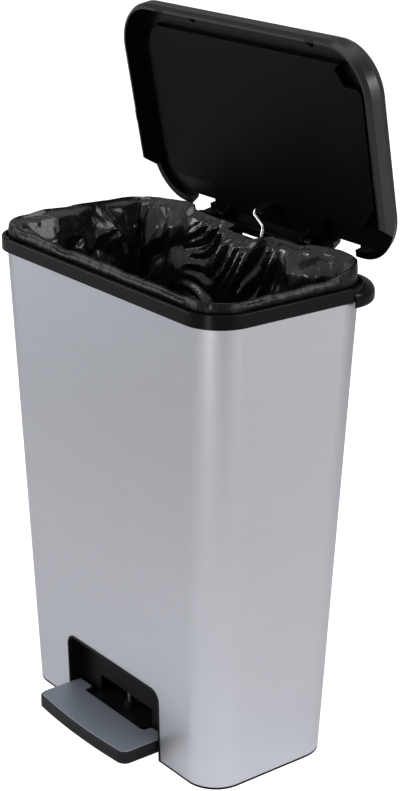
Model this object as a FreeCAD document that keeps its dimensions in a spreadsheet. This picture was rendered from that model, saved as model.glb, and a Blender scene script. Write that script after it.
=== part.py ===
import FreeCAD, Part
import Sketcher
import math
import os

# Pedal trash can with its lid held open and its pedal pressed down.
# The floor is Z = 0, the pedal is at the front (-Y), the lid hinge at the rear (+Y),
# and the origin is the centre of the foot ring on the floor.

doc = FreeCAD.newDocument("pedal_trash_can")
sizes = doc.addObject("Spreadsheet::Sheet", "sizes")

DRIVING_SIZES = [
    # the tapered body
    ("base_wide", 402.0), ("base_deep", 197.2), ("base_round", 42.6),
    ("top_wide", 450.0), ("top_deep", 235.0), ("top_round", 41.6),
    ("taper_high", 604.0), ("sheet", 0.8), ("shell_low", 3.0), ("shell_high", 612.0),
    ("ring_high", 22.0), ("ring_wall", 3.2), ("plate_low", 2.0), ("plate_high", 4.5),
    # the collar around the mouth
    ("band_wide", 464.0), ("band_deep", 249.0), ("band_round", 48.5),
    ("band_low", 603.0), ("band_top", 620.0), ("band_wall", 2.5),
    ("groove_out", 4.0), ("groove_low", 616.0),
    ("inner_lip_out", 9.0), ("inner_lip_wall", 2.5), ("inner_lip_top", 628.0), ("collar_low", 588.0),
    # the hinge housing behind the collar
    ("housing_wide", 467.0), ("housing_rear", 141.0), ("housing_round", 50.0),
    ("housing_low", 594.0), ("housing_top", 618.0), ("housing_wall", 7.0), ("housing_start", 84.0),
    ("hood_round", 13.0), ("hood_foot_round", 6.0), ("hood_hollow", 14.0),
    ("post_near", 82.0), ("post_far", 93.0), ("post_round", 6.5), ("post_foot", 8.0),
    ("axis_y", 140.0), ("axis_z", 632.0), ("pin_thick", 5.0), ("pin_near", 75.2), ("pin_far", 92.4),
    # the lid, as it lies when closed
    ("lid_wide", 468.6), ("lid_deep", 272.0), ("lid_round", 64.0), ("lid_centre", 7.0),
    ("lid_lip", 621.0), ("lid_skirt", 19.0), ("lid_thick", 31.0), ("crown_inset", 5.6),
    ("lip_inset", 3.2), ("lip_bevel", 5.5),
    ("lid_wall", 3.0), ("crown_wall", 3.5), ("crown_edge", 5.0),
    ("rear_step_start", 86.0), ("rear_step_end", 102.0), ("rear_step_high", 18.8),
    ("rear_step_near", 121.0), ("post_way_near", 74.8), ("post_way_far", 94.0),
    ("apron_low", 619.4), ("apron_wall", 4.0), ("apron_out", 5.8),
    ("window_near", 121.0), ("window_far", 160.0), ("window_front", 131.8),
    ("gusset_out", 112.0), ("gusset_thick", 3.0), ("gusset_long", 16.0),
    ("ledge_low", 640.4), ("panel_low", 637.0), ("panel_wide", 410.0), ("panel_rear", 104.0),
    ("panel_front", -97.0), ("panel_wall", 2.6), ("panel_inset", 9.0), ("panel_round", 26.0),
    ("box_half", 107.0), ("box_plate_low", 639.0), ("ear_far", 80.0), ("ear_thick", 4.5), ("ear_round", 7.5),
    ("lid_angle", 79.2),
    ("clip_near", 5.4), ("clip_wide", 14.6), ("clip_round", 4.6),
    ("screw_out", 42.0), ("screw_y", 124.0), ("screw_head", 7.0), ("screw_high", 1.6),
    ("buffer_long", 14.0), ("buffer_wide", 2.4), ("buffer_high", 0.7),
    # the recess in the front wall
    ("recess_wide", 196.0), ("recess_top", 97.5), ("recess_round", 13.0), ("recess_wall", 2.8),
    ("recess_rear", 79.0), ("recess_rear_wall", 1.8), ("slot_half", 57.0), ("slot_top", 49.0),
    ("trim_proud", 0.9),
    # the raised floor and the liner
    ("floor_low", 100.4), ("floor_thick", 3.0), ("floor_rim", 22.0), ("floor_gap", 1.3),
    ("liner_low", 104.0), ("liner_gap", 6.7), ("liner_film", 1.5), ("cuff_top", 630.6),
    ("cuff_low", 626.5), ("cuff_out", 5.0), ("fold_deep", 29.0), ("fold_left", -18.0), ("fold_right", 38.0),
    # the pedal, pressed down
    ("pedal_half", 96.5), ("pedal_rear", -84.5), ("pedal_corner_y", -152.5), ("pedal_front_y", -157.5),
    ("pedal_low", 13.0), ("pedal_high", 28.5), ("pad_thick", 1.6), ("pad_border", 2.0),
    ("pedal_corner", 12.0), ("pedal_rear_corner", 3.0), ("pedal_edge", 1.2),
    ("notch_half", 64.0), ("notch_front", -98.0), ("notch_deep", 5.0), ("notch_corner", 5.0),
    ("arm_half", 55.0), ("arm_top", 26.0), ("pedal_hollow", 25.5), ("pedal_wall", 6.0),
    ("axle_y", -45.0), ("axle_z", 22.0), ("axle_thick", 6.0), ("axle_half", 68.0), ("hub_thick", 17.0),
    ("bracket_near", 58.0), ("bracket_far", 64.0), ("bracket_wide", 24.0), ("axle_clip", 13.0),
    ("axle_clip_thick", 1.4), ("lever_thick", 5.6), ("lever_tip_y", -73.5), ("lever_tip_high", 19.0),
    ("boss_wide", 14.0), ("boss_high", 10.0), ("lever_x", 10.4),
    ("eye_x", 13.2), ("eye_thick", 2.4), ("eye_long", 30.0), ("eye_high", 18.0),
    # the push rod
    ("rod_thick", 4.0), ("rod_x", 22.0), ("running_gap", 0.05), ("cap_wide", 15.0), ("cap_thick", 3.0),
    ("guide_half", 9.0), ("guide_high", 12.0), ("guide_way", 3.2),
]

FIRST_ROW = 2
sizes.set("A1", "name")
sizes.set("B1", "value (mm or degrees)")
for row, (alias, number) in enumerate(DRIVING_SIZES, FIRST_ROW):
    sizes.set(f"A{row}", alias)
    sizes.set(f"B{row}", str(number))
    sizes.setAlias(f"B{row}", alias)
doc.recompute()

PARTS = []
CUTTERS = ("PartDesign::Pocket", "PartDesign::SubtractiveLoft")


def size(alias):
    """The number that the sheet holds under an alias."""
    return float(getattr(sizes, alias))


def number(expression):
    """The value of an expression on the sheet's aliases."""
    return float(sizes.evalExpression(expression))


def wide_at(height, inset="0"):
    """Width of the tapered body at a height, less an inset on both sides, as an expression."""
    grown = f"(sizes.top_wide - sizes.base_wide) * ({height}) / sizes.taper_high"
    return f"(sizes.base_wide + {grown} - 2 * ({inset}))"


def deep_at(height, inset="0"):
    """Depth of the tapered body at a height, less an inset on both sides, as an expression."""
    grown = f"(sizes.top_deep - sizes.base_deep) * ({height}) / sizes.taper_high"
    return f"(sizes.base_deep + {grown} - 2 * ({inset}))"


def round_at(height, inset="0"):
    """Corner radius of the tapered body at a height, less an inset, as an expression."""
    grown = f"(sizes.top_round - sizes.base_round) * ({height}) / sizes.taper_high"
    return f"(sizes.base_round + {grown} - ({inset}))"


# ---------------------------------------------------------------- sketches and features

def new_body(label):
    body = doc.addObject("PartDesign::Body", label)
    body.Label = label
    PARTS.append(body)
    return body


def new_sketch(body, role, offset):
    """A sketch on one of the body's own origin planes, moved along the plane's normal."""
    sketch = body.newObject("Sketcher::SketchObject", "sketch")
    plane = next(item for item in body.Origin.OriginFeatures if item.Role == role)
    sketch.AttachmentSupport = [(plane, "")]
    sketch.MapMode = "FlatFace"
    sketch.setExpression("AttachmentOffset.Base.z", offset)
    return sketch


def bind(sketch, constraint, name, expression):
    """Add a dimension to a sketch and bind it to the sheet."""
    index = sketch.addConstraint(constraint)
    sketch.renameConstraint(index, name)
    sketch.setExpression(f"Constraints.{name}", expression)


def rounded_rectangle(sketch, wide, deep, radius, centre="0"):
    """A rectangle with round corners, centred on the sketch's Y axis."""
    half_wide = number(wide) / 2
    half_deep = number(deep) / 2
    corner = number(radius)
    middle = number(centre)
    bottom = middle - half_deep
    top = middle + half_deep
    vector = FreeCAD.Vector
    axis = vector(0, 0, 1)

    def line(x1, y1, x2, y2):
        sketch.addGeometry(Part.LineSegment(vector(x1, y1, 0), vector(x2, y2, 0)), False)

    def arc(x, y, start):
        circle = Part.Circle(vector(x, y, 0), axis, corner)
        sketch.addGeometry(Part.ArcOfCircle(circle, start, start + math.pi / 2), False)

    line(-half_wide + corner, bottom, half_wide - corner, bottom)
    arc(half_wide - corner, bottom + corner, -math.pi / 2)
    line(half_wide, bottom + corner, half_wide, top - corner)
    arc(half_wide - corner, top - corner, 0)
    line(half_wide - corner, top, -half_wide + corner, top)
    arc(-half_wide + corner, top - corner, math.pi / 2)
    line(-half_wide, top - corner, -half_wide, bottom + corner)
    arc(-half_wide + corner, bottom + corner, math.pi)
    for index in range(8):
        sketch.addConstraint(Sketcher.Constraint("Tangent", index, 2, (index + 1) % 8, 1))
    for index in (0, 4):
        sketch.addConstraint(Sketcher.Constraint("Horizontal", index))
    for index in (2, 6):
        sketch.addConstraint(Sketcher.Constraint("Vertical", index))
    for index in (3, 5, 7):
        sketch.addConstraint(Sketcher.Constraint("Equal", 1, index))
    bind(sketch, Sketcher.Constraint("Radius", 1, corner), "corner", radius)
    bind(sketch, Sketcher.Constraint("DistanceX", 6, 1, 2, 1, 2 * half_wide), "wide", wide)
    bind(sketch, Sketcher.Constraint("DistanceY", 0, 1, 4, 1, 2 * half_deep), "deep", deep)
    bind(sketch, Sketcher.Constraint("DistanceX", -1, 1, 2, 1, half_wide), "right", f"({wide}) / 2")
    bind(sketch, Sketcher.Constraint("DistanceY", -1, 1, 4, 1, top), "top", f"({centre}) + ({deep}) / 2")


def polygon(sketch, points):
    """A closed outline of straight lines, each corner bound to two expressions."""
    first = sketch.GeometryCount
    spots = [FreeCAD.Vector(number(x), number(y), 0) for x, y in points]
    count = len(points)
    for index in range(count):
        sketch.addGeometry(Part.LineSegment(spots[index], spots[(index + 1) % count]), False)
    for index, (x, y) in enumerate(points):
        edge = first + index
        after = first + (index + 1) % count
        sketch.addConstraint(Sketcher.Constraint("Coincident", edge, 2, after, 1))
        spot = spots[index]
        bind(sketch, Sketcher.Constraint("DistanceX", -1, 1, edge, 1, spot.x), f"x_{edge}", x)
        bind(sketch, Sketcher.Constraint("DistanceY", -1, 1, edge, 1, spot.y), f"y_{edge}", y)


def rectangle(sketch, left, right, bottom, top):
    polygon(sketch, [(left, bottom), (right, bottom), (right, top), (left, top)])


def circle(sketch, x, y, diameter):
    index = sketch.GeometryCount
    centre = FreeCAD.Vector(number(x), number(y), 0)
    radius = number(diameter) / 2
    sketch.addGeometry(Part.Circle(centre, FreeCAD.Vector(0, 0, 1), radius), False)
    bind(sketch, Sketcher.Constraint("DistanceX", -1, 1, index, 3, centre.x), f"cx_{index}", x)
    bind(sketch, Sketcher.Constraint("DistanceY", -1, 1, index, 3, centre.y), f"cy_{index}", y)
    bind(sketch, Sketcher.Constraint("Diameter", index, 2 * radius), f"diameter_{index}", diameter)


def pad(body, sketch, length, midplane=False, backwards=False):
    feature = body.newObject("PartDesign::Pad", "pad")
    feature.Profile = sketch
    feature.Midplane = midplane
    feature.Reversed = backwards
    feature.setExpression("Length", length)
    return feature


def pocket(body, sketch, length, midplane=False, backwards=False):
    feature = body.newObject("PartDesign::Pocket", "pocket")
    feature.Profile = sketch
    feature.Midplane = midplane
    feature.Reversed = backwards
    feature.setExpression("Length", length)
    return feature


def slab(body, low, high, draw):
    """Pad an outline, drawn by a function, from one height up to another."""
    sketch = new_sketch(body, "XY_Plane", low)
    draw(sketch)
    return pad(body, sketch, f"({high}) - ({low})")


def sink(body, low, high, draw):
    """Cut an outline, drawn by a function, from one height down to another."""
    sketch = new_sketch(body, "XY_Plane", high)
    draw(sketch)
    return pocket(body, sketch, f"({high}) - ({low})")


def slice_across(body, half_wide, draw):
    """Cut an outline drawn in the Y-Z plane through a width centred on the body."""
    sketch = new_sketch(body, "YZ_Plane", "0")
    draw(sketch)
    return pocket(body, sketch, f"2 * ({half_wide})", midplane=True)


def loft(body, kind, low, high, draw):
    """A straight loft between two heights; the function draws the outline at a height."""
    outlines = []
    for height in (low, high):
        sketch = new_sketch(body, "XY_Plane", height)
        draw(sketch, height)
        outlines.append(sketch)
    feature = body.newObject(f"PartDesign::{kind}", "loft")
    feature.Profile = outlines[0]
    feature.Sections = outlines[1:]
    feature.Ruled = True
    return feature


def tapered(inset):
    """Draws the tapered body's outline at a height, less an inset."""
    def draw(sketch, height):
        rounded_rectangle(sketch, wide_at(height, inset), deep_at(height, inset), round_at(height, inset))
    return draw


def band_outline(inset):
    """Draws the collar's outline, less an inset."""
    def draw(sketch):
        less = f"2 * ({inset})"
        wide = f"sizes.band_wide - {less}"
        deep = f"sizes.band_deep - {less}"
        rounded_rectangle(sketch, wide, deep, f"sizes.band_round - ({inset})")
    return draw


def lid_outline(inset):
    """Draws the lid's outline, less an inset."""
    def draw(sketch):
        less = f"2 * ({inset})"
        wide = f"sizes.lid_wide - {less}"
        deep = f"sizes.lid_deep - {less}"
        rounded_rectangle(sketch, wide, deep, f"sizes.lid_round - ({inset})", "sizes.lid_centre")
    return draw


def round_edges(body, base, radius, chosen):
    """Fillet the edges of a feature that a test picks."""
    doc.recompute()
    names = [f"Edge{i}" for i, edge in enumerate(base.Shape.Edges, 1) if chosen(edge.BoundBox)]
    feature = body.newObject("PartDesign::Fillet", "fillet")
    feature.Base = (base, names)
    feature.setExpression("Radius", radius)
    return feature


def block(x, y, z, length, width, height):
    """A box from its lowest corner and its three sizes, all expressions."""
    item = doc.addObject("Part::Box", "box")
    item.setExpression("Placement.Base.x", x)
    item.setExpression("Placement.Base.y", y)
    item.setExpression("Placement.Base.z", z)
    item.setExpression("Length", length)
    item.setExpression("Width", width)
    item.setExpression("Height", height)
    return item


ALONG_X = FreeCAD.Rotation(FreeCAD.Vector(0, 1, 0), 90)
ALONG_Z = FreeCAD.Rotation()


def rod_along(direction, x, y, z, diameter, length):
    """A cylinder that starts at a point and runs along +X, +Y or +Z."""
    item = doc.addObject("Part::Cylinder", "cylinder")
    item.Placement = FreeCAD.Placement(FreeCAD.Vector(), direction)
    item.setExpression("Placement.Base.x", x)
    item.setExpression("Placement.Base.y", y)
    item.setExpression("Placement.Base.z", z)
    item.setExpression("Radius", f"({diameter}) / 2")
    item.setExpression("Height", length)
    return item


def fused(label, pieces, is_part=True):
    item = doc.addObject("Part::MultiFuse", label)
    item.Shapes = pieces
    if is_part:
        item.Label = label
        PARTS.append(item)
    return item


def cut(label, base, tool, is_part=True):
    item = doc.addObject("Part::Cut", label)
    item.Base = base
    item.Tool = tool
    if is_part:
        item.Label = label
        PARTS.append(item)
    return item


def bent_wire(points, bends, diameter):
    """A round wire along straight runs joined by tangent arcs, one radius for each inner point."""
    vectors = [FreeCAD.Vector(*point) for point in points]
    edges = []
    start = vectors[0]
    for index, bend in enumerate(bends, 1):
        corner = vectors[index]
        back = (vectors[index - 1] - corner).normalize()
        ahead = (vectors[index + 1] - corner).normalize()
        half = back.getAngle(ahead) / 2
        leave = corner + back * (bend / math.tan(half))
        rejoin = corner + ahead * (bend / math.tan(half))
        inward = (back + ahead).normalize()
        middle = corner + inward * (bend / math.sin(half) - bend)
        edges.append(Part.LineSegment(start, leave).toShape())
        edges.append(Part.Arc(leave, middle, rejoin).toShape())
        start = rejoin
    edges.append(Part.LineSegment(start, vectors[-1]).toShape())
    path = Part.Wire(edges)
    section = Part.Wire(Part.Circle(vectors[0], vectors[1] - vectors[0], diameter / 2).toShape())
    return path.makePipeShell([section], True, False)


def wire_part(label, points, bends, diameter):
    item = doc.addObject("Part::Feature", label)
    item.Label = label
    item.Shape = bent_wire(points, bends, diameter)
    item.Placement = FreeCAD.Placement()
    PARTS.append(item)
    return item


# ---------------------------------------------------------------- the can

def make_outer_shell():
    """The brushed steel wrap: a tapered tube with a hole for the pedal."""
    body = new_body("outer_shell")
    loft(body, "AdditiveLoft", "sizes.shell_low", "sizes.shell_high", tapered("0"))
    loft(body, "SubtractiveLoft", "sizes.shell_low - 1", "sizes.shell_high + 1", tapered("sizes.sheet"))
    opening = new_sketch(body, "XZ_Plane", "0")
    wide = "sizes.recess_wide + 2 * sizes.recess_wall + 0.4"
    high = "2 * (sizes.recess_top + sizes.recess_wall + 0.2)"
    rounded_rectangle(opening, wide, high, "sizes.recess_round + sizes.recess_wall")
    pocket(body, opening, "sizes.base_deep", backwards=True)


def make_base_frame():
    """The foot ring with its bottom plate; the ring is broken where the pedal comes out."""
    body = new_body("base_frame")

    def outline(inset):
        return lambda sketch: tapered(inset)(sketch, "0")

    inside = "sizes.sheet + 0.3"
    slab(body, "0", "sizes.shell_low", outline("0"))
    slab(body, "sizes.shell_low", "sizes.ring_high", outline(inside))
    sink(body, "sizes.plate_high", "sizes.ring_high", outline(f"{inside} + sizes.ring_wall"))
    sink(body, "0", "sizes.plate_low", outline("2 * sizes.ring_wall"))
    half = "sizes.recess_wide / 2 + sizes.recess_wall + 0.2"
    rear = "-(sizes.recess_rear - sizes.recess_rear_wall - 0.2)"
    gap = lambda sketch: rectangle(sketch, f"-({half})", half, "-sizes.base_deep", rear)
    sink(body, "-1", "sizes.ring_high + 1", gap)


def make_pedal_recess():
    """The black pocket behind the pedal: side walls, a top, and a rear wall with a slot."""
    body = new_body("pedal_recess")
    rear = "sizes.recess_rear - sizes.recess_rear_wall"
    front = "sizes.base_deep / 2 + 8"
    outer = new_sketch(body, "XZ_Plane", rear)
    wide = "sizes.recess_wide + 2 * sizes.recess_wall"
    high = "2 * (sizes.recess_top + sizes.recess_wall)"
    rounded_rectangle(outer, wide, high, "sizes.recess_round + sizes.recess_wall")
    pad(body, outer, f"{front} - ({rear})")
    inner = new_sketch(body, "XZ_Plane", front)
    rounded_rectangle(inner, "sizes.recess_wide", "2 * sizes.recess_top", "sizes.recess_round")
    pocket(body, inner, f"{front} - sizes.recess_rear")
    slot = new_sketch(body, "XZ_Plane", "sizes.recess_rear + 1")
    rectangle(slot, "-sizes.slot_half", "sizes.slot_half", "-sizes.recess_top", "sizes.slot_top")
    pocket(body, slot, "sizes.recess_rear_wall + 2")

    def front_face(height):
        return f"-{deep_at(height)} / 2 - sizes.trim_proud"

    def below_and_ahead(sketch):
        top = "sizes.recess_top + 20"
        ahead = "-sizes.base_deep"
        points = [("0", "0.6"), (front_face("0.6"), "0.6"), (front_face(top), top)]
        points += [(ahead, top), (ahead, "-sizes.recess_top - 20"), ("0", "-sizes.recess_top - 20")]
        polygon(sketch, points)

    slice_across(body, "sizes.recess_wide", below_and_ahead)


def make_inner_floor():
    """The raised floor that the bag stands on, with a notch for the push rod."""
    body = new_body("inner_floor")
    low = "sizes.floor_low"
    inset = "sizes.sheet + sizes.floor_gap"
    top = f"{low} + sizes.floor_rim"
    slab(body, low, top, lambda sketch: tapered(inset)(sketch, low))
    sink(body, f"{low} + sizes.floor_thick", top, lambda sketch: tapered(f"{inset} + 2.5")(sketch, low))
    around = lambda sketch: rectangle(sketch, "sizes.rod_x - 8", "sizes.rod_x + 8", "74", "sizes.base_deep")
    sink(body, f"{low} - 1", f"{top} + 1", around)


def make_rim_collar():
    """The black collar: an outer band, a groove, a raised inner lip and a slot for the sheet."""
    body = new_body("rim_collar")
    slab(body, "sizes.collar_low", "sizes.inner_lip_top", band_outline("sizes.inner_lip_out"))
    ring = slab(body, "sizes.band_low", "sizes.band_top", band_outline("0"))
    level = lambda box: abs(box.ZMin - size("band_top")) < 0.01 and box.ZLength < 0.01
    outermost = lambda box: max(box.XMax, -box.XMin) > size("band_wide") / 2 - 0.1
    frontmost = lambda box: max(box.YMax, -box.YMin) > size("band_deep") / 2 - 0.1
    round_edges(body, ring, "1.4", lambda box: level(box) and (outermost(box) or frontmost(box)))
    sink(body, "sizes.groove_low", "sizes.band_top", ring_between("sizes.groove_out", "sizes.inner_lip_out"))
    slot = ring_between("sizes.band_wall", "sizes.inner_lip_out")
    sink(body, "sizes.band_low - 1", "sizes.groove_low - 3", slot)
    mouth = band_outline("sizes.inner_lip_out + sizes.inner_lip_wall")
    sink(body, "sizes.collar_low - 1", "sizes.inner_lip_top + 1", mouth)
    rod_gap = lambda sketch: rectangle(sketch, "-14", "sizes.rod_x + 12", "100", "116.5")
    sink(body, "sizes.collar_low - 1", "sizes.inner_lip_top + 1", rod_gap)


def ring_between(outer, inner):
    """Draws the stretch between two insets of the collar's outline."""
    def draw(sketch):
        band_outline(outer)(sketch)
        inner_ring(sketch, inner)
    return draw


def inner_ring(sketch, inset):
    """The inner edge of a ring, as a second outline in the same sketch."""
    first = sketch.GeometryCount
    half_wide = number(f"sizes.band_wide / 2 - ({inset})")
    half_deep = number(f"sizes.band_deep / 2 - ({inset})")
    corner = number(f"sizes.band_round - ({inset})")
    vector = FreeCAD.Vector
    turns = [(1, -1, -math.pi / 2), (1, 1, 0), (-1, 1, math.pi / 2), (-1, -1, math.pi)]
    for right, up, start in turns:
        spot = vector(right * (half_wide - corner), up * (half_deep - corner), 0)
        arc = Part.Circle(spot, vector(0, 0, 1), corner)
        sketch.addGeometry(Part.ArcOfCircle(arc, start, start + math.pi / 2), False)
    for index in range(4):
        before = sketch.Geometry[first + index].EndPoint
        after = sketch.Geometry[first + (index + 1) % 4].StartPoint
        sketch.addGeometry(Part.LineSegment(before, after), False)
    for index in range(4):
        arc, line, after = first + index, first + 4 + index, first + (index + 1) % 4
        sketch.addConstraint(Sketcher.Constraint("Tangent", arc, 2, line, 1))
        sketch.addConstraint(Sketcher.Constraint("Tangent", line, 2, after, 1))
    sketch.addConstraint(Sketcher.Constraint("Vertical", first + 4))
    sketch.addConstraint(Sketcher.Constraint("Horizontal", first + 5))
    sketch.addConstraint(Sketcher.Constraint("Vertical", first + 6))
    sketch.addConstraint(Sketcher.Constraint("Horizontal", first + 7))
    for index in (1, 2, 3):
        sketch.addConstraint(Sketcher.Constraint("Equal", first, first + index))
    bind(sketch, Sketcher.Constraint("Radius", first, corner), "ring_corner", f"sizes.band_round - ({inset})")
    right = Sketcher.Constraint("DistanceX", -1, 1, first + 4, 1, half_wide)
    bind(sketch, right, "ring_right", f"sizes.band_wide / 2 - ({inset})")
    left = Sketcher.Constraint("DistanceX", first + 6, 1, -1, 1, half_wide)
    bind(sketch, left, "ring_left", f"sizes.band_wide / 2 - ({inset})")
    top = Sketcher.Constraint("DistanceY", -1, 1, first + 5, 1, half_deep)
    bind(sketch, top, "ring_top", f"sizes.band_deep / 2 - ({inset})")
    bottom = Sketcher.Constraint("DistanceY", first + 7, 1, -1, 1, half_deep)
    bind(sketch, bottom, "ring_bottom", f"sizes.band_deep / 2 - ({inset})")


def make_hinge_housing():
    """The rounded hood behind the collar, with the two posts that carry the lid."""
    body = new_body("hinge_housing")
    deep = "2 * sizes.housing_rear"

    def outline(inset):
        less = f"2 * ({inset})"
        wide = f"sizes.housing_wide - {less}"
        corner = f"sizes.housing_round - ({inset})"
        return lambda sketch: rounded_rectangle(sketch, wide, f"{deep} - {less}", corner)

    hood = slab(body, "sizes.housing_low", "sizes.housing_top", outline("0"))
    at_top = lambda box: abs(box.ZMin - size("housing_top")) < 0.01 and box.ZLength < 0.01
    hood = round_edges(body, hood, "sizes.hood_round", at_top)
    at_foot = lambda box: abs(box.ZMax - size("housing_low")) < 0.01 and box.ZLength < 0.01
    round_edges(body, hood, "sizes.hood_foot_round", at_foot)
    for side in (-1, 1):
        near = f"{side} * sizes.post_near"
        far = f"{side} * sizes.post_far"
        post = new_sketch(body, "YZ_Plane", near if side > 0 else far)
        post_front = "sizes.axis_y - sizes.post_round"
        post_rear = "sizes.axis_y + sizes.post_round"
        rectangle(post, post_front, post_rear, "sizes.housing_top - sizes.post_foot", "sizes.axis_z")
        pad(body, post, "sizes.post_far - sizes.post_near")
        knuckle = new_sketch(body, "YZ_Plane", near if side > 0 else far)
        circle(knuckle, "sizes.axis_y", "sizes.axis_z", "2 * sizes.post_round")
        pad(body, knuckle, "sizes.post_far - sizes.post_near")
    inside = "sizes.housing_wall"
    sink(body, "sizes.housing_low - 1", "sizes.housing_low + sizes.hood_hollow", outline(inside))
    sink(body, "sizes.housing_low - 1", "sizes.housing_top + 1", band_outline("-0.1"))
    wide = "sizes.housing_wide"
    front = "-2 * sizes.housing_rear"
    ahead = lambda sketch: rectangle(sketch, f"-{wide}", wide, front, "sizes.housing_start")
    sink(body, "sizes.housing_low - 1", "sizes.housing_top + 1", ahead)
    bore = new_sketch(body, "YZ_Plane", "0")
    circle(bore, "sizes.axis_y", "sizes.axis_z", "sizes.pin_thick")
    pocket(body, bore, "2 * (sizes.post_far + 5)", midplane=True)


def make_hinge_pins():
    """The two steel pins that the lid turns on, each fixed in its post with its end sunk."""
    length = "sizes.pin_far - sizes.pin_near"
    for start, label in (("-sizes.pin_far", "hinge_pin_left"), ("sizes.pin_near", "hinge_pin_right")):
        pin = rod_along(ALONG_X, start, "sizes.axis_y", "sizes.axis_z", "sizes.pin_thick", length)
        pin.Label = label
        PARTS.append(pin)


def make_liner_bag():
    """The bag: a thin film that hangs in the can, folds over the inner lip and clears the rod."""
    body = new_body("liner_bag")
    gap = "sizes.liner_gap"
    under = "sizes.inner_lip_top + 0.3"
    slab(body, "sizes.cuff_low", "sizes.cuff_top", band_outline("sizes.cuff_out"))
    sink(body, "sizes.cuff_low - 1", under, band_outline("sizes.cuff_out + sizes.liner_film"))
    loft(body, "AdditiveLoft", "sizes.liner_low", "sizes.cuff_top", tapered(gap))
    floor = "sizes.liner_low + sizes.liner_film"
    loft(body, "SubtractiveLoft", floor, "sizes.cuff_top + 1", tapered(f"{gap} + sizes.liner_film"))
    def fold_front(height):
        return f"({deep_at(height)} / 2 - sizes.fold_deep)"

    def fold(sketch, height):
        rear = f"{deep_at(height, gap)} / 2 - 0.2"
        rectangle(sketch, "sizes.fold_left", "sizes.fold_right", fold_front(height), rear)

    def gap_outline(sketch, height):
        left = "sizes.fold_left + sizes.liner_film"
        right = "sizes.fold_right - sizes.liner_film"
        rectangle(sketch, left, right, f"{fold_front(height)} + sizes.liner_film", "sizes.band_deep")

    loft(body, "AdditiveLoft", "sizes.liner_low", "sizes.cuff_top", fold)
    loft(body, "SubtractiveLoft", "sizes.liner_low - 1", "sizes.cuff_top + 1", gap_outline)


ROD_GUIDES = [("rod_guide_lower", 250, 83), ("rod_guide_upper", 480, 92)]


def make_rod_guides():
    """Two forked guides on the rear wall that keep the push rod in line."""
    for label, height, front in ROD_GUIDES:
        rear = f"{deep_at(height)} / 2 - sizes.sheet - 0.2"
        plate_x = "sizes.rod_x - sizes.guide_half"
        plate_deep = f"{rear} - {front}"
        plate = block(plate_x, f"{front}", f"{height}", "2 * sizes.guide_half", plate_deep, "sizes.guide_high")
        way_x = "sizes.rod_x - sizes.guide_way"
        way_deep = f"{rear} - 1.5 - {front}"
        way_high = "sizes.guide_high + 2"
        way = block(way_x, f"{front - 1}", f"{height - 1}", "2 * sizes.guide_way", way_deep, way_high)
        cut(label, plate, way)


# ---------------------------------------------------------------- the lid

def lid_point(point):
    """Carries a point of the closed lid to where the open lid holds it."""
    angle = math.radians(-size("lid_angle"))
    y = point[1] - size("axis_y")
    z = point[2] - size("axis_z")
    turned_y = y * math.cos(angle) - z * math.sin(angle)
    turned_z = y * math.sin(angle) + z * math.cos(angle)
    return (point[0], turned_y + size("axis_y"), turned_z + size("axis_z"))


def open_lid(item):
    """Turn a piece, drawn as it lies on the closed can, about the hinge to the open lid."""
    axis = FreeCAD.Vector(0, size("axis_y"), size("axis_z"))
    turn = FreeCAD.Rotation(FreeCAD.Vector(1, 0, 0), -size("lid_angle"))
    item.Placement = FreeCAD.Placement(FreeCAD.Vector(), turn, axis).multiply(item.Placement)


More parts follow.
